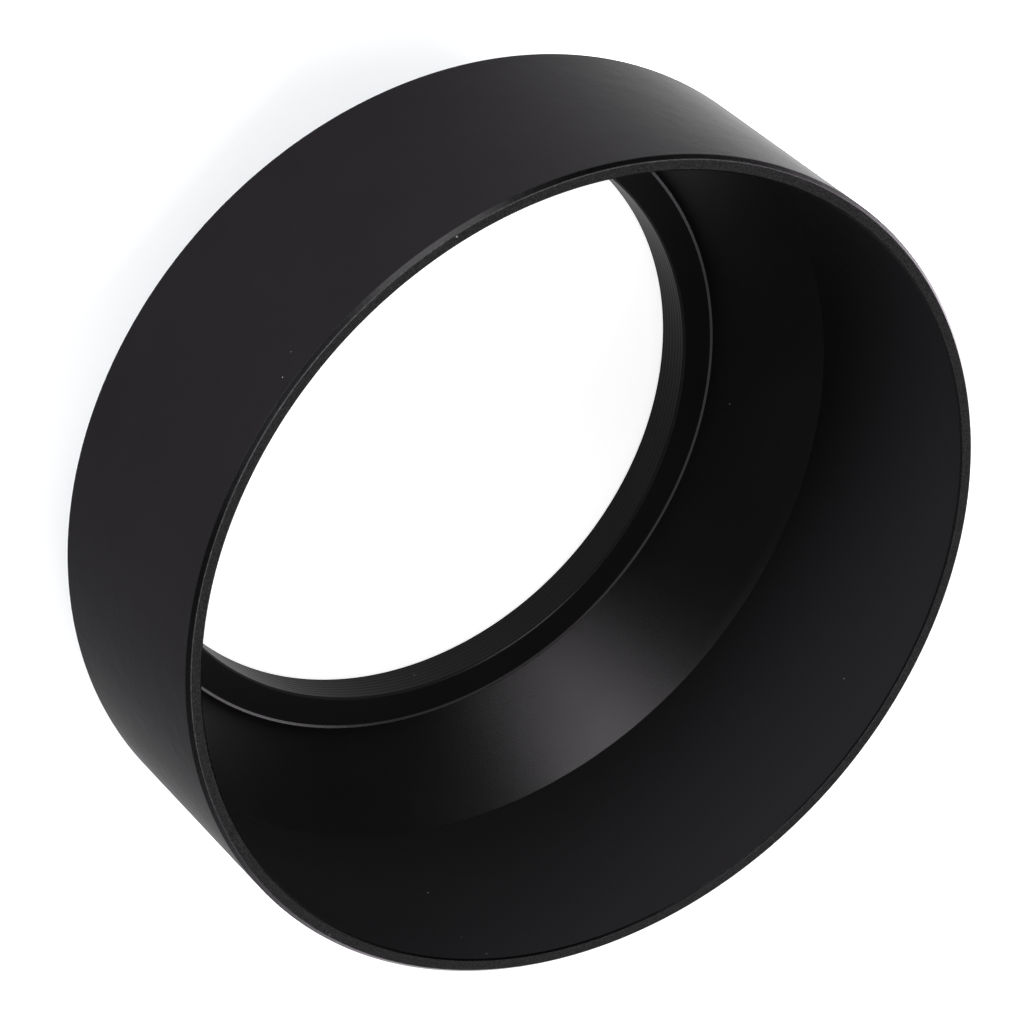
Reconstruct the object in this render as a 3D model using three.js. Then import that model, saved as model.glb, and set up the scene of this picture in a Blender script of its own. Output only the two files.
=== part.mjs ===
// Screw-in metal lens hood: a shade tube, a thin cone behind it and a threaded mount ring.
// Millimetres. +Z is the optical axis, from the threaded neck out of the front opening, and the
// origin is the centre of the neck's rear end, which the hood stands on.
// Every piece is turned about that axis, so each one is the section of its wall, revolved.

import * as THREE from 'three';

// Overall
const HEIGHT = 35.4; // rear end of the neck to the front rim
const SEGMENTS = 96; // flats around every turned piece
const SEAT_GAP = 0.05; // clearance where one piece sits in another

// Shade tube
const TUBE_OUTER_RADIUS = 39;
const TUBE_WALL = 1.4;
const TUBE_LENGTH = 23;
const FRONT_CHAMFER_WIDTH = 0.35;
const FRONT_CHAMFER_HEIGHT = 0.4;
const EDGE_BREAK = 0.12; // small bevel on the other turned edges
const REGISTER_WIDTH = 0.8; // step inside the tube's rear end that holds the cone's rim
const REGISTER_DEPTH = 0.45;

// Cone
const CONE_SHEET = 0.7; // thickness of the formed sheet

// Mount ring
const BORE_RADIUS = 28.04;
const THREAD_MAJOR_RADIUS = 29; // 58 mm filter thread
const THREAD_PITCH = 0.75;
const THREAD_DEPTH = 0.46;
const THREAD_CREST = 0.1; // flat on top of each crest
const THREAD_TURNS = 3;
const FIRST_CREST_Z = 0.6;
const SHOULDER_Z = 2.87; // face that meets the front of the lens
const NECK_FOOT = 0.4; // height of the flare between the thread and the shoulder
const FLANGE_THICKNESS = 1;
const FLANGE_RADIUS = 31.08; // where the front of the flange would meet the cone
const LIP_HEIGHT = 0.1; // low raised rim around the front of the flange
const LIP_TOP = 0.04; // width of its flat top
const LIP_SLOPE = 0.22; // width of the ramp up to it
const RIDGE_PITCH = 0.5; // fine light-trap ridges inside the bore
const RIDGE_DEPTH = 0.03;
const RIDGE_COUNT = 6;

const TUBE_INNER_RADIUS = TUBE_OUTER_RADIUS - TUBE_WALL;
const TUBE_REAR_Z = HEIGHT - TUBE_LENGTH;
const CONE_TOP_Z = TUBE_REAR_Z + REGISTER_DEPTH - SEAT_GAP;
const FLANGE_Z = SHOULDER_Z + FLANGE_THICKNESS;
const CONE_SLOPE = (TUBE_INNER_RADIUS - FLANGE_RADIUS) / (CONE_TOP_Z - FLANGE_Z);

const point = (radius, z) => new THREE.Vector2(radius, z);

// Inner radius of the cone at a height
function coneInnerRadius(z) {
  return FLANGE_RADIUS + (z - FLANGE_Z) * CONE_SLOPE;
}

// Closed solid of revolution about Z. The section runs anticlockwise: up outside, down inside.
function turned(name, section, material) {
  const geometry = new THREE.LatheGeometry([...section, section[0].clone()], SEGMENTS);
  geometry.rotateX(Math.PI / 2);
  const mesh = new THREE.Mesh(geometry, material);
  mesh.name = name;
  return mesh;
}

// Straight tube with a flat front rim. Its rear end is stepped inside for the rim of the cone.
function shadeTube() {
  const registerRadius = TUBE_INNER_RADIUS + REGISTER_WIDTH;
  const section = [
    point(registerRadius, TUBE_REAR_Z),
    point(TUBE_OUTER_RADIUS - EDGE_BREAK, TUBE_REAR_Z),
    point(TUBE_OUTER_RADIUS, TUBE_REAR_Z + EDGE_BREAK),
    point(TUBE_OUTER_RADIUS, HEIGHT - FRONT_CHAMFER_HEIGHT),
    point(TUBE_OUTER_RADIUS - FRONT_CHAMFER_WIDTH, HEIGHT),
    point(TUBE_INNER_RADIUS + EDGE_BREAK, HEIGHT),
    point(TUBE_INNER_RADIUS, HEIGHT - EDGE_BREAK),
    point(TUBE_INNER_RADIUS, TUBE_REAR_Z + REGISTER_DEPTH),
    point(registerRadius, TUBE_REAR_Z + REGISTER_DEPTH),
  ];
  const material = new THREE.MeshStandardMaterial({ color: 0x1a191b, roughness: 0.5, metalness: 0 });
  return turned('shade_tube', section, material);
}

// Cone of thin sheet from the tube down to the mount ring. Its wide rim is cut to fit the
// tube's step and its narrow end is cut level with the shoulder of the mount ring.
function rearCone() {
  const radialThickness = CONE_SHEET * Math.hypot(1, CONE_SLOPE);
  const rimRadius = TUBE_INNER_RADIUS + REGISTER_WIDTH - SEAT_GAP;
  const rimLowZ = CONE_TOP_Z - (TUBE_INNER_RADIUS + radialThickness - rimRadius) / CONE_SLOPE;
  const section = [
    point(coneInnerRadius(SHOULDER_Z), SHOULDER_Z),
    point(coneInnerRadius(SHOULDER_Z) + radialThickness, SHOULDER_Z),
    point(rimRadius, rimLowZ),
    point(rimRadius, CONE_TOP_Z),
    point(TUBE_INNER_RADIUS, CONE_TOP_Z),
  ];
  const material = new THREE.MeshStandardMaterial({ color: 0x181719, roughness: 0.45, metalness: 0 });
  return turned('rear_cone', section, material);
}

// Outside of the neck, going up: the crests of the thread, drawn as separate rings
function threadSection() {
  const rootRadius = THREAD_MAJOR_RADIUS - THREAD_DEPTH;
  const halfCrest = THREAD_CREST / 2;
  const halfRoot = halfCrest + THREAD_DEPTH * Math.tan(Math.PI / 6);
  const section = [];
  for (let turn = 0; turn < THREAD_TURNS; turn += 1) {
    const z = FIRST_CREST_Z + turn * THREAD_PITCH;
    section.push(
      point(rootRadius, z - halfRoot),
      point(THREAD_MAJOR_RADIUS, z - halfCrest),
      point(THREAD_MAJOR_RADIUS, z + halfCrest),
      point(rootRadius, z + halfRoot),
    );
  }
  return section;
}

// Inside of the bore, going down: shallow V grooves at a fine pitch
function boreSection() {
  const firstZ = FLANGE_Z - EDGE_BREAK - RIDGE_PITCH / 2;
  const section = [point(BORE_RADIUS + EDGE_BREAK, FLANGE_Z)];
  for (let ridge = 0; ridge < RIDGE_COUNT; ridge += 1) {
    const z = firstZ - ridge * RIDGE_PITCH;
    section.push(
      point(BORE_RADIUS, z + RIDGE_PITCH / 2),
      point(BORE_RADIUS + RIDGE_DEPTH, z),
    );
  }
  section.push(
    point(BORE_RADIUS, firstZ - (RIDGE_COUNT - 0.5) * RIDGE_PITCH),
    point(BORE_RADIUS, EDGE_BREAK),
  );
  return section;
}

// Ring with a threaded neck behind and a wider flange in front, whose coned side sits in the cone
function mountRing() {
  const rootRadius = THREAD_MAJOR_RADIUS - THREAD_DEPTH;
  const lipTopZ = FLANGE_Z + LIP_HEIGHT;
  const lipOuterRadius = coneInnerRadius(lipTopZ) - SEAT_GAP;
  const section = [
    point(BORE_RADIUS + EDGE_BREAK, 0),
    point(rootRadius, 0),
    ...threadSection(),
    point(rootRadius, SHOULDER_Z - NECK_FOOT),
    point(THREAD_MAJOR_RADIUS + SEAT_GAP, SHOULDER_Z),
    point(coneInnerRadius(SHOULDER_Z) - SEAT_GAP, SHOULDER_Z),
    point(lipOuterRadius, lipTopZ),
    point(lipOuterRadius - LIP_TOP, lipTopZ),
    point(lipOuterRadius - LIP_TOP - LIP_SLOPE, FLANGE_Z),
    ...boreSection(),
  ];
  const material = new THREE.MeshStandardMaterial({ color: 0x161617, roughness: 0.4, metalness: 0 });
  return turned('mount_ring', section, material);
}

const hood = new THREE.Group();
hood.add(shadeTube(), rearCone(), mountRing());

export default hood;
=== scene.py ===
"""Round black metal lens hood, standing on its threaded neck with the front opening up.

Three turned pieces are built here in fine mesh, in the same places and sizes as the CAD pieces
that they stand for: the shade tube, the thin cone and the threaded mount ring.
"""

import math

import bmesh
import bpy
from mathutils import Matrix, Vector


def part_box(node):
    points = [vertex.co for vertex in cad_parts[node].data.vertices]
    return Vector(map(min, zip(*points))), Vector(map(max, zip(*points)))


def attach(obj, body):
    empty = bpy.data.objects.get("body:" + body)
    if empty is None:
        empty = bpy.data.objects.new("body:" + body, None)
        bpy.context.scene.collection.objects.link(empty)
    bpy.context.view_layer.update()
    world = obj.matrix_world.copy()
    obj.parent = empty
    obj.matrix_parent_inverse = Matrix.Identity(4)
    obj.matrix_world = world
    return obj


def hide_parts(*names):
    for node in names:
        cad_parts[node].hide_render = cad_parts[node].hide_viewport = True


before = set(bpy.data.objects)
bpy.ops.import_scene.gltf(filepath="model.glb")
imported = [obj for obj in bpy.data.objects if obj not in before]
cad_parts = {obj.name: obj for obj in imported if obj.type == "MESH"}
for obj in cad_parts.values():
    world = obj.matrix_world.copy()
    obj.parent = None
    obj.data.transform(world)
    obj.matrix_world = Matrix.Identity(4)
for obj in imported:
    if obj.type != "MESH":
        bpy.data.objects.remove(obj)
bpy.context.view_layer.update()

MM = 0.001

# Sizes in millimetres. The overall ones come from the frame.
TUBE_LOW, TUBE_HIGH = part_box("shade_tube")
HEIGHT = TUBE_HIGH[2] / MM
TUBE_RADIUS = TUBE_HIGH[0] / MM
TUBE_REAR = TUBE_LOW[2] / MM
CONE_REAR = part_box("rear_cone")[0][2] / MM  # level with the shoulder of the mount ring

SEAT_GAP = 0.02  # clearance where one piece sits in another

# Shade tube
TUBE_WALL = 1.4
TUBE_INNER = TUBE_RADIUS - TUBE_WALL
FRONT_CHAMFER_WIDTH = 0.35
FRONT_CHAMFER_HEIGHT = 0.4
INNER_CHAMFER = 0.2
REGISTER_WIDTH = 0.8  # step inside the rear end that holds the rim of the cone
REGISTER_DEPTH = 0.45

# Mount ring
FLANGE_THICKNESS = 1.0
FLANGE_RADIUS = 31.08  # where the front of the flange would meet the cone
FLANGE_TOP = CONE_REAR + FLANGE_THICKNESS
LIP_HEIGHT = 0.1
LIP_TOP = 0.04  # width of the flat top of the lip
LIP_SLOPE = 0.22  # width of the ramp up to the lip
BORE_RADIUS = 28.04
BORE_BEVEL = 0.17  # at the front of the bore
REAR_BEVEL = 0.12  # at the rear of the bore
NECK_FOOT = 0.4  # height of the flare between the thread and the shoulder
NECK_END = 0.15  # plain end of the neck, behind the thread
THREAD_RADIUS = 29.0
THREAD_PITCH = 0.75
THREAD_DEPTH = 0.46
THREAD_CREST = 0.07  # half the width of a crest, as a share of the pitch
THREAD_START = 0.1
THREAD_LEAD_IN = 0.45  # height over which the thread rises to its full depth
THREAD_RUN_OUT = 0.3  # height over which it fades again
RIDGE_PITCH = 0.5
RIDGE_DEPTH = 0.013
RIDGE_MARGIN = 0.2  # plain height at each end of the bore, and height over which ridges rise

# Cone
CONE_SHEET = 0.7
CONE_TOP = TUBE_REAR + REGISTER_DEPTH - SEAT_GAP
CONE_SLOPE = (TUBE_INNER - FLANGE_RADIUS) / (CONE_TOP - FLANGE_TOP)

# Rounds on the edges
HAIRLINE_ROUND = 0.02  # beside the hairline between the tube and the cone
CRISP_ROUND = 0.03
FINE_ROUND = 0.04
EDGE_ROUND = 0.05
NECK_ROUND = 0.06
RIM_ROUND = 0.08
SOFT_ROUND = 0.1
TUBE_REAR_ROUND = 0.12
LIP_FOOT_ROUND = 0.2

SEGMENTS = 384  # steps round each turned piece
ARC_STEPS = 5  # steps round each broken edge
SUPPORT = 0.06  # how close an extra ring follows each broken edge
THREAD_STEP = 0.0375  # height of a row of faces on the thread
RIDGE_STEP = 0.05  # height of a row of faces in the bore
FLOOR_GAP = 0.02  # how far the floor lies under the hood


# ---------------------------------------------------------------- sections

def broken_corner(before, corner, after, radius):
    """The points of a small round in place of a sharp corner."""
    corner = Vector(corner)
    to_before = Vector(before) - corner
    to_after = Vector(after) - corner
    half = to_before.angle(to_after) / 2
    reach = min(radius / math.tan(half), 0.45 * to_before.length, 0.45 * to_after.length)
    start = corner + to_before.normalized() * reach
    end = corner + to_after.normalized() * reach
    middle = (to_before.normalized() + to_after.normalized()).normalized()
    centre = corner + middle * (reach / math.cos(half))
    points = []
    for step in range(ARC_STEPS + 1):
        share = step / ARC_STEPS
        chord = start.lerp(end, share)
        points.append(centre + (chord - centre).normalized() * (start - centre).length)
    return points


def softened(corners):
    """A closed outline with every corner (radius, height, round) broken, and support points."""
    outline = []
    count = len(corners)
    for index, (radius, height, round_off) in enumerate(corners):
        before = corners[index - 1][:2]
        after = corners[(index + 1) % count][:2]
        if round_off:
            outline.extend(broken_corner(before, (radius, height), after, round_off))
        else:
            outline.append(Vector((radius, height)))
    supported = []
    for index, here in enumerate(outline):
        after = outline[(index + 1) % len(outline)]
        supported.append(here)
        along = after - here
        if along.length > 4 * SUPPORT:
            supported.append(here + along.normalized() * SUPPORT)
            supported.append(after - along.normalized() * SUPPORT)
    return supported


def cone_inner(height):
    """Inner radius of the cone at a height."""
    return FLANGE_RADIUS + (height - FLANGE_TOP) * CONE_SLOPE


def rising(low, high, step):
    """Evenly spaced heights from low to high."""
    rows = max(1, round((high - low) / step))
    return [low + (high - low) * row / rows for row in range(rows + 1)]


def smooth(share):
    """0 below 0 and 1 above 1, smooth between."""
    share = min(1.0, max(0.0, share))
    return share * share * (3 - 2 * share)


# ---------------------------------------------------------------- meshes

def turned(name, section, relief=None):
    """A closed solid of revolution about Z. relief(index, height, turn) moves a row's radius."""
    mesh = bpy.data.meshes.new(name)
    build = bmesh.new()
    rings = []
    for index, (radius, height) in enumerate(section):
        ring = []
        for segment in range(SEGMENTS):
            turn = segment / SEGMENTS
            angle = 2 * math.pi * turn
            out = radius + (relief(index, height, turn) if relief else 0.0)
            ring.append(build.verts.new((
                out * MM * math.cos(angle), out * MM * math.sin(angle), height * MM)))
        rings.append(ring)
    for index, ring in enumerate(rings):
        above = rings[(index + 1) % len(rings)]
        for segment in range(SEGMENTS):
            beside = (segment + 1) % SEGMENTS
            build.faces.new((ring[segment], ring[beside], above[beside], above[segment]))
    bmesh.ops.recalc_face_normals(build, faces=build.faces)
    for face in build.faces:
        face.smooth = True
    build.to_mesh(mesh)
    build.free()
    piece = bpy.data.objects.new(name, mesh)
    bpy.context.scene.collection.objects.link(piece)
    return piece


def make_tube():
    """Straight tube with a flat front rim, stepped inside its rear end for the cone."""
    register = TUBE_INNER + REGISTER_WIDTH
    section = softened([
        (register, TUBE_REAR, EDGE_ROUND),
        (TUBE_RADIUS, TUBE_REAR, TUBE_REAR_ROUND),
        (TUBE_RADIUS, HEIGHT - FRONT_CHAMFER_HEIGHT, SOFT_ROUND),
        (TUBE_RADIUS - FRONT_CHAMFER_WIDTH, HEIGHT, RIM_ROUND),
        (TUBE_INNER + INNER_CHAMFER, HEIGHT, FINE_ROUND),
        (TUBE_INNER, HEIGHT - INNER_CHAMFER, FINE_ROUND),
        (TUBE_INNER, TUBE_REAR + REGISTER_DEPTH, HAIRLINE_ROUND),
        (register, TUBE_REAR + REGISTER_DEPTH, 0.0),
    ])
    return turned("tube", section)


def make_cone():
    """Cone of thin sheet from the tube down to the mount ring."""
    thickness = CONE_SHEET * math.hypot(1, CONE_SLOPE)
    rim = TUBE_INNER + REGISTER_WIDTH - SEAT_GAP
    rim_low = CONE_TOP - (TUBE_INNER + thickness - rim) / CONE_SLOPE
    section = softened([
        (cone_inner(CONE_REAR), CONE_REAR, EDGE_ROUND),
        (cone_inner(CONE_REAR) + thickness, CONE_REAR, SOFT_ROUND),
        (rim, rim_low, EDGE_ROUND),
        (rim, CONE_TOP, CRISP_ROUND),
        (TUBE_INNER, CONE_TOP, HAIRLINE_ROUND),
    ])
    return turned("cone", section)


def thread_relief(height, turn):
    """How far the male thread stands out of its root at a height and a turn round the neck."""
    phase = (height / THREAD_PITCH - turn) % 1.0
    flank = THREAD_DEPTH * math.tan(math.pi / 6) / THREAD_PITCH
    away = abs(phase - 0.5) - THREAD_CREST
    ridge = min(1.0, max(0.0, 1 - away / flank))
    lead_in = smooth((height - THREAD_START) / THREAD_LEAD_IN)
    run_out = smooth((CONE_REAR - NECK_FOOT - height) / THREAD_RUN_OUT)
    return THREAD_DEPTH * ridge * min(lead_in, run_out)


def ridge_relief(height, turn):
    """How deep the light-trap groove in the bore is at a height and a turn round it."""
    phase = (height / RIDGE_PITCH - turn) % 1.0
    groove = 1 - abs(2 * phase - 1)
    rear_end = smooth((height - RIDGE_MARGIN) / RIDGE_MARGIN)
    front_end = smooth((FLANGE_TOP - RIDGE_MARGIN - height) / RIDGE_MARGIN)
    return RIDGE_DEPTH * groove * min(rear_end, front_end)


def make_ring():
    """Ring with a threaded neck behind, a wider flange in front and fine ridges in its bore."""
    root = THREAD_RADIUS - THREAD_DEPTH
    lip_top = FLANGE_TOP + LIP_HEIGHT
    lip_inner = cone_inner(lip_top) - SEAT_GAP - LIP_TOP
    outside = [(BORE_RADIUS + REAR_BEVEL, 0.0, FINE_ROUND), (root, 0.0, NECK_ROUND)]
    outside += [(root, height, 0.0) for height in
                rising(NECK_END, CONE_REAR - NECK_FOOT, THREAD_STEP)]
    outside += [
        (THREAD_RADIUS + SEAT_GAP, CONE_REAR, EDGE_ROUND),
        (cone_inner(CONE_REAR) - SEAT_GAP, CONE_REAR, FINE_ROUND),
        (cone_inner(lip_top) - SEAT_GAP, lip_top, EDGE_ROUND),
        (lip_inner, lip_top, EDGE_ROUND),
    ]
    face = [
        (lip_inner - LIP_SLOPE, FLANGE_TOP, LIP_FOOT_ROUND),
        (BORE_RADIUS + BORE_BEVEL, FLANGE_TOP, CRISP_ROUND),
    ]
    bore = [(BORE_RADIUS, height, 0.0) for height in
            reversed(rising(REAR_BEVEL, FLANGE_TOP - BORE_BEVEL, RIDGE_STEP))]
    section = softened(outside + face + bore)

    def relief(index, height, turn):
        radius = section[index][0]
        if math.isclose(radius, root, abs_tol=1e-4):
            return thread_relief(height, turn)
        if math.isclose(radius, BORE_RADIUS, abs_tol=1e-4):
            return ridge_relief(height, turn)
        return 0.0

    return turned("ring", section, relief)


# ---------------------------------------------------------------- materials

class Finish:
    """A satin black finish that is built up layer by layer, with all its sizes in millimetres.

    The index of refraction is low, so that the black stays deep in the strong light that makes
    the floor white.
    """

    def __init__(self, name, colour, roughness, ior):
        self.material = bpy.data.materials.new(name)
        self.material.use_nodes = True
        self.tree = self.material.node_tree
        self.shader = self.tree.nodes["Principled BSDF"]
        self.shader.inputs["IOR"].default_value = ior
        self.shader.inputs["Specular Tint"].default_value = (1.0, 0.955, 1.0, 1.0)
        self.position, self.radius, self.height = self.place()
        cloud = self.noise(self.position, scale=0.09, detail=3.0)
        self.colour = self.mix(cloud, [0.85 * part for part in colour],
                               [1.15 * part for part in colour])
        spread = 0.08
        self.roughness = self.math("MULTIPLY_ADD", cloud, spread, roughness - spread / 2)
        self.metal = 0.0
        self.normal = None

    def link(self, value, socket):
        if isinstance(value, bpy.types.NodeSocket):
            self.tree.links.new(value, socket)
        elif isinstance(value, list):
            socket.default_value = (*value, 1.0)
        else:
            socket.default_value = value

    def math(self, operation, *values):
        node = self.tree.nodes.new("ShaderNodeMath")
        node.operation = operation
        for value, socket in zip(values, node.inputs):
            self.link(value, socket)
        return node.outputs[0]

    def place(self):
        """Position in millimetres, distance from the axis and height."""
        coordinates = self.tree.nodes.new("ShaderNodeTexCoord")
        scale = self.tree.nodes.new("ShaderNodeVectorMath")
        scale.operation = "SCALE"
        scale.inputs["Scale"].default_value = 1 / MM
        self.link(coordinates.outputs["Object"], scale.inputs[0])
        parts = self.tree.nodes.new("ShaderNodeSeparateXYZ")
        self.link(scale.outputs[0], parts.inputs[0])
        squares = [self.math("POWER", part, 2.0) for part in parts.outputs[:2]]
        return scale.outputs[0], self.math("SQRT", self.math("ADD", *squares)), parts.outputs[2]

    def noise(self, vector, scale, detail):
        node = self.tree.nodes.new("ShaderNodeTexNoise")
        node.inputs["Scale"].default_value = scale
        node.inputs["Detail"].default_value = detail
        node.inputs["Roughness"].default_value = 0.6
        self.link(vector, node.inputs["Vector"])
        return node.outputs["Fac"]

    def rings(self, scale):
        """Noise that changes along the section and not round the piece, as a turning tool cuts."""
        join = self.tree.nodes.new("ShaderNodeCombineXYZ")
        self.link(self.radius, join.inputs[0])
        self.link(self.height, join.inputs[1])
        return self.noise(join.outputs[0], scale, detail=3.0)

    def step(self, value, low, high):
        """0 below low and 1 above high, smooth between."""
        node = self.tree.nodes.new("ShaderNodeMapRange")
        node.interpolation_type = "SMOOTHSTEP"
        node.inputs["From Min"].default_value = low
        node.inputs["From Max"].default_value = high
        self.link(value, node.inputs["Value"])
        return node.outputs["Result"]

    def near(self, value, middle, reach):
        """1 at the middle, falling to 0 at the reach."""
        away = self.math("ABSOLUTE", self.math("SUBTRACT", value, middle))
        return self.math("SUBTRACT", 1.0, self.step(away, 0.3 * reach, reach))

    def mix(self, share, first, second):
        node = self.tree.nodes.new("ShaderNodeMix")
        node.data_type = "RGBA"
        self.link(share, node.inputs[0])
        self.link(first, node.inputs[6])
        self.link(second, node.inputs[7])
        return node.outputs[2]

    def bump(self, relief, strength, where=1.0):
        """Adds a fine relief to the normal."""
        node = self.tree.nodes.new("ShaderNodeBump")
        node.inputs["Strength"].default_value = strength
        node.inputs["Distance"].default_value = 0.02 * MM
        self.link(self.math("MULTIPLY", relief, where), node.inputs["Height"])
        if self.normal:
            self.link(self.normal, node.inputs["Normal"])
        self.normal = node.outputs[0]

    def blast(self, strength, scale=4.5):
        """The fine mottle of a blasted surface."""
        grain = self.noise(self.position, scale, detail=2.0)
        self.bump(grain, strength)
        spread = 0.1
        smoothest = self.math("SUBTRACT", self.roughness, spread / 2)
        self.roughness = self.math("MULTIPLY_ADD", grain, spread, smoothest)

    def turn(self, strength, scale=5.0):
        """Faint lathe marks that come and go round the piece."""
        patches = self.step(self.noise(self.position, scale=0.35, detail=2.0), 0.35, 0.7)
        self.bump(self.rings(scale), strength, patches)

    def coarsen(self, where, colour, strength, scale):
        """A coarser, paler, speckled cut on one face."""
        grit = self.noise(self.position, scale, detail=2.0)
        spots = self.step(grit, 0.42, 0.62)
        pale = self.mix(spots, [0.55 * part for part in colour], [1.6 * part for part in colour])
        self.colour = self.mix(where, self.colour, pale)
        self.roughness = self.math("MULTIPLY_ADD", where, 0.1, self.roughness)
        self.bump(self.math("ADD", grit, self.rings(9.0)), strength, where)

    def paint_rub_and_edge_highlight(self, where, scale, amount):
        """A thin pale line that comes and goes along an edge: partly rubbed wear, partly a painted
        highlight on the rounded edge.
        """
        points = self.step(self.noise(self.position, scale, detail=3.0), 0.45, 0.68)
        share = self.math("MULTIPLY_ADD", points, 0.6 * amount, 0.4 * amount)
        self.colour = self.mix(self.math("MULTIPLY", where, share), self.colour, [0.3, 0.3, 0.3])

    def burnish(self, where, colour):
        """A sharp edge or bevel whose cut metal shines through the black."""
        self.metal = where
        self.colour = self.mix(where, self.colour, colour)
        self.roughness = self.math("MULTIPLY_ADD", where, -0.06, self.roughness)

    def dust(self, spacing=3.2, largest=0.11):
        """A few small pale specks of dust."""
        node = self.tree.nodes.new("ShaderNodeTexVoronoi")
        node.inputs["Scale"].default_value = 1 / spacing
        self.link(self.position, node.inputs["Vector"])
        chance = self.tree.nodes.new("ShaderNodeSeparateColor")
        self.link(node.outputs["Color"], chance.inputs[0])
        size = self.math("MULTIPLY", chance.outputs[0], largest / spacing)
        inside = self.math("LESS_THAN", node.outputs["Distance"], size)
        share = self.math("MULTIPLY", inside, self.math("MULTIPLY", chance.outputs[1], 0.5))
        self.colour = self.mix(share, self.colour, [0.4, 0.4, 0.38])
        self.roughness = self.math("MULTIPLY_ADD", share, 0.6, self.roughness)

    def finished(self):
        self.link(self.colour, self.shader.inputs["Base Color"])
        self.link(self.roughness, self.shader.inputs["Roughness"])
        self.link(self.metal, self.shader.inputs["Metallic"])
        self.link(self.normal, self.shader.inputs["Normal"])
        return self.material


def tube_material():
    """Smooth outside; paler inside, partly a duller inner finish and partly painted light on the
    shaded inner walls; a coarse cut rim between two burnished chamfers, with a pale line along its
    outer edge that is partly wear and partly a painted highlight.
    """
    finish = Finish("tube_black", [0.0052, 0.0046, 0.0052], roughness=0.34, ior=1.04)
    inside = finish.step(finish.radius, TUBE_INNER + 0.3, TUBE_INNER + 0.2)
    # Paler colour inside: partly a duller finish, partly painted light that lifts the shaded inner
    # walls
    finish.colour = finish.mix(inside, finish.colour, [0.0074, 0.0068, 0.0074])
    finish.blast(strength=0.15)
    finish.turn(strength=1.0)
    rim = finish.step(finish.height, HEIGHT - 0.06, HEIGHT - 0.02)
    finish.coarsen(rim, [0.0125, 0.012, 0.0125], strength=0.7, scale=8.0)
    outer_foot = HEIGHT - FRONT_CHAMFER_HEIGHT
    inner_foot = HEIGHT - INNER_CHAMFER
    chamfer = finish.mix(inside, finish.step(finish.height, outer_foot, outer_foot + 0.04),
                         finish.step(finish.height, inner_foot, inner_foot + 0.03))
    finish.burnish(finish.math("SUBTRACT", chamfer, rim), [0.0085, 0.0082, 0.0085])
    edge = finish.near(finish.radius, TUBE_RADIUS - FRONT_CHAMFER_WIDTH, reach=0.06)
    top = finish.step(finish.height, HEIGHT - 0.1, HEIGHT - 0.04)
    # Pale line at the rim's outer edge: partly rubbed wear, partly a painted highlight
    finish.paint_rub_and_edge_highlight(finish.math("MULTIPLY", edge, top), scale=3.0, amount=0.1)
    finish.dust()
    return finish.finished()


def cone_material():
    """Blasted all over, so that it spreads a soft highlight."""
    finish = Finish("cone_black", [0.0044, 0.0041, 0.0044], roughness=0.34, ior=1.25)
    finish.blast(strength=0.65, scale=7.0)
    finish.turn(strength=0.1)
    finish.dust()
    return finish.finished()


def ring_material():
    """Turned, with a little more shine than the tube, and burnished on its lip and bevel."""
    finish = Finish("ring_black", [0.0105, 0.0098, 0.0105], roughness=0.33, ior=1.09)
    finish.blast(strength=0.06)
    finish.turn(strength=0.08, scale=7.0)
    lip = finish.step(finish.radius, FLANGE_RADIUS - 0.24, FLANGE_RADIUS - 0.18)
    bevel_outer = BORE_RADIUS + BORE_BEVEL
    bevel = finish.math("MULTIPLY",
                        finish.step(finish.radius, BORE_RADIUS + 0.03, BORE_RADIUS + 0.06),
                        finish.step(finish.radius, bevel_outer + 0.03, bevel_outer))
    worn = finish.math("MAXIMUM", lip, finish.math("MULTIPLY", bevel, 0.4))
    finish.burnish(worn, [0.034, 0.032, 0.034])
    finish.dust()
    return finish.finished()


def ramp(nodes, links, value, low, high, at_low, at_high):
    """A smooth change from one number to another while value goes from low to high."""
    node = nodes.new("ShaderNodeMapRange")
    node.interpolation_type = "SMOOTHSTEP"
    for name, number in (("From Min", low), ("From Max", high), ("To Min", at_low),
                         ("To Max", at_high)):
        node.inputs[name].default_value = number
    links.new(value, node.inputs["Value"])
    return node.outputs["Result"]


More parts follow.
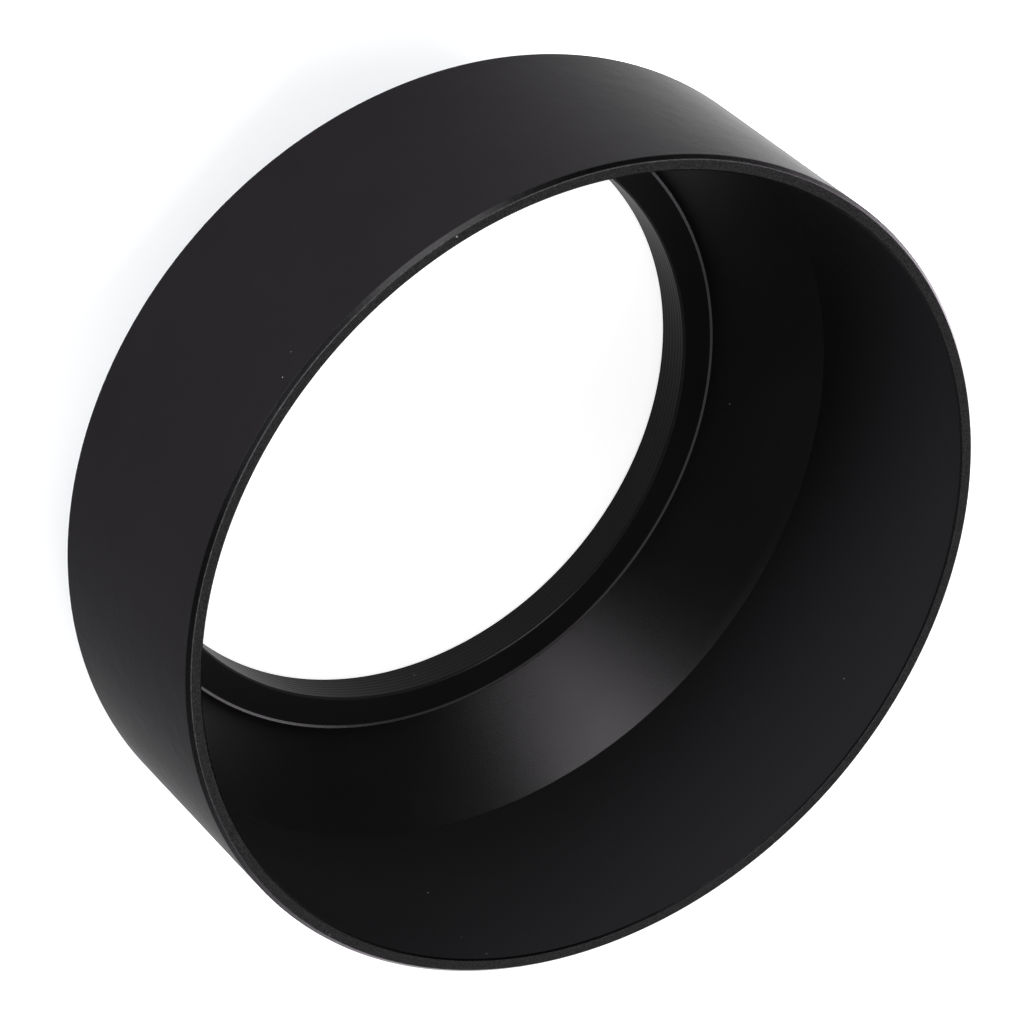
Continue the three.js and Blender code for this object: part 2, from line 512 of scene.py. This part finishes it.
def floor_material():
    """Pale matt paper with painted light: it glows, though it is no lamp. The glow fills the
    hood's shadow under the bore and the back light's shadow on the near side.
    It also hides where the lamps fall off far away, and is strongest on the -X side, so the outer
    wall mirrors a brighter floor there than on the +X side."""
    material = bpy.data.materials.new("floor_pale_painted_glow")
    material.use_nodes = True
    nodes = material.node_tree.nodes
    links = material.node_tree.links
    shader = nodes["Principled BSDF"]
    mottle = nodes.new("ShaderNodeTexNoise")
    mottle.inputs["Scale"].default_value = 60.0
    tone = ramp(nodes, links, mottle.outputs["Fac"], 0.0, 1.0, at_low=0.8, at_high=0.84)
    links.new(tone, shader.inputs["Base Color"])
    shader.inputs["Roughness"].default_value = 0.9
    shader.inputs["Emission Color"].default_value = (1.0, 1.0, 1.0, 1.0)
    place = nodes.new("ShaderNodeTexCoord").outputs["Object"]
    parts = nodes.new("ShaderNodeSeparateXYZ")
    reach = nodes.new("ShaderNodeVectorMath")
    reach.operation = "LENGTH"
    links.new(place, parts.inputs[0])
    links.new(place, reach.inputs[0])
    away = reach.outputs["Value"]
    # Painted light: emission that lifts the floor most on the -X side and leaves the +X side dim,
    # plus painted pools of light under the bore, on the near side and far away
    painted_glow = ramp(nodes, links, parts.outputs["X"], -25 * MM, -55 * MM, at_low=0.15, at_high=2.7)
    for value, start, end, strength in (
            (parts.outputs["Y"], -25, -50, 0.6), (away, 29, 28, 0.7), (away, 500, 900, 0.9)):
        brighter = nodes.new("ShaderNodeMath")
        brighter.operation = "MAXIMUM"
        links.new(painted_glow, brighter.inputs[0])
        links.new(ramp(nodes, links, value, start * MM, end * MM, at_low=0.0, at_high=strength),
                  brighter.inputs[1])
        painted_glow = brighter.outputs[0]
    links.new(painted_glow, shader.inputs["Emission Strength"])
    return material


# ---------------------------------------------------------------- scene

def make_floor():
    half_size = 2.5  # metres
    build = bmesh.new()
    bmesh.ops.create_grid(build, x_segments=8, y_segments=8, size=half_size)
    mesh = bpy.data.meshes.new("floor")
    build.to_mesh(mesh)
    build.free()
    floor = bpy.data.objects.new("floor", mesh)
    floor.location.z = -FLOOR_GAP * MM
    mesh.materials.append(floor_material())
    bpy.context.scene.collection.objects.link(floor)


def camera_axes(elevation, roll):
    """Right, up and back directions of a camera on the -Y side, turned about its own view."""
    back = Vector((0, -math.cos(elevation), math.sin(elevation)))
    level_right = Vector((1, 0, 0))
    level_up = back.cross(level_right)
    right = level_right * math.cos(roll) + level_up * math.sin(roll)
    return right, back.cross(right), back


def make_camera():
    """A long lens, tilted so that the front opening faces down and to the right."""
    elevation = math.radians(48.8)
    roll = math.radians(131.27)
    distance = 442.9
    rim_right = 7.15  # the middle of the rim lies this far right of the view's middle
    rim_down = 5.61
    right, up, back = camera_axes(elevation, roll)
    rim_centre = Vector((0, 0, HEIGHT))
    place = rim_centre - right * rim_right + up * rim_down + back * distance
    data = bpy.data.cameras.new("camera")
    data.lens = 181.8
    data.sensor_width = 36.0
    camera = bpy.data.objects.new("camera", data)
    turn = Matrix((right, up, back)).transposed().to_4x4()
    camera.matrix_world = Matrix.Translation(place * MM) @ turn
    bpy.context.scene.collection.objects.link(camera)
    bpy.context.scene.camera = camera


def soft_box(name, direction, distance, width, height, power, colour=(1.0, 1.0, 1.0)):
    """An area light that faces the middle of the hood. Metres and watts."""
    data = bpy.data.lights.new(name, "AREA")
    data.shape = "RECTANGLE"
    data.size = width
    data.size_y = height
    data.energy = power
    data.color = colour
    light = bpy.data.objects.new(name, data)
    towards = Vector(direction).normalized()
    light.location = Vector((0, 0, HEIGHT * MM / 2)) + towards * distance
    light.rotation_euler = towards.to_track_quat("Z", "Y").to_euler()
    bpy.context.scene.collection.objects.link(light)


def make_world():
    """A dim room with a white band round the horizon and a white ceiling on the far +X side."""
    world = bpy.data.worlds.new("studio")
    world.use_nodes = True
    nodes = world.node_tree.nodes
    links = world.node_tree.links
    direction = nodes.new("ShaderNodeTexCoord").outputs["Generated"]
    ceiling = nodes.new("ShaderNodeVectorMath")
    ceiling.operation = "DOT_PRODUCT"
    ceiling.inputs[1].default_value = (0.45, 0.45, 0.77)
    height = nodes.new("ShaderNodeSeparateXYZ")
    brighter = nodes.new("ShaderNodeMath")
    brighter.operation = "MAXIMUM"
    links.new(direction, ceiling.inputs[0])
    links.new(direction, height.inputs[0])
    links.new(ramp(nodes, links, ceiling.outputs["Value"], 0.25, 0.75, at_low=0.12, at_high=1.05),
              brighter.inputs[0])
    links.new(ramp(nodes, links, height.outputs["Z"], 0.06, 0.16, at_low=1.0, at_high=0.0),
              brighter.inputs[1])
    links.new(brighter.outputs[0], nodes["Background"].inputs["Strength"])
    nodes["Background"].inputs["Color"].default_value = (1.0, 1.0, 1.0, 1.0)
    bpy.context.scene.world = world


def make_light():
    make_world()
    soft_box("key", (-0.445, -0.8, 0.42), distance=0.8, width=0.4, height=0.4, power=6.6)
    soft_box("front", (0.25, -0.95, 0.18), distance=0.9, width=0.6, height=0.24, power=14.5,
             colour=(0.9, 0.94, 1.0))
    soft_box("back", (-0.15, 0.74, 0.66), distance=0.9, width=1.4, height=0.6, power=10.6)


def main():
    tube, cone, ring = make_tube(), make_cone(), make_ring()
    dressed = (
        (tube, "shade_tube", "tube_finish", tube_material()),
        (cone, "rear_cone", "cone_finish", cone_material()),
        (ring, "mount_ring", "ring_finish", ring_material()),
    )
    for piece, node, slot, material in dressed:
        piece.data.materials.append(material)
        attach(piece, "root")
        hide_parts(node)
    make_floor()
    make_camera()
    make_light()
    bpy.context.scene.view_settings.view_transform = "Standard"


main()
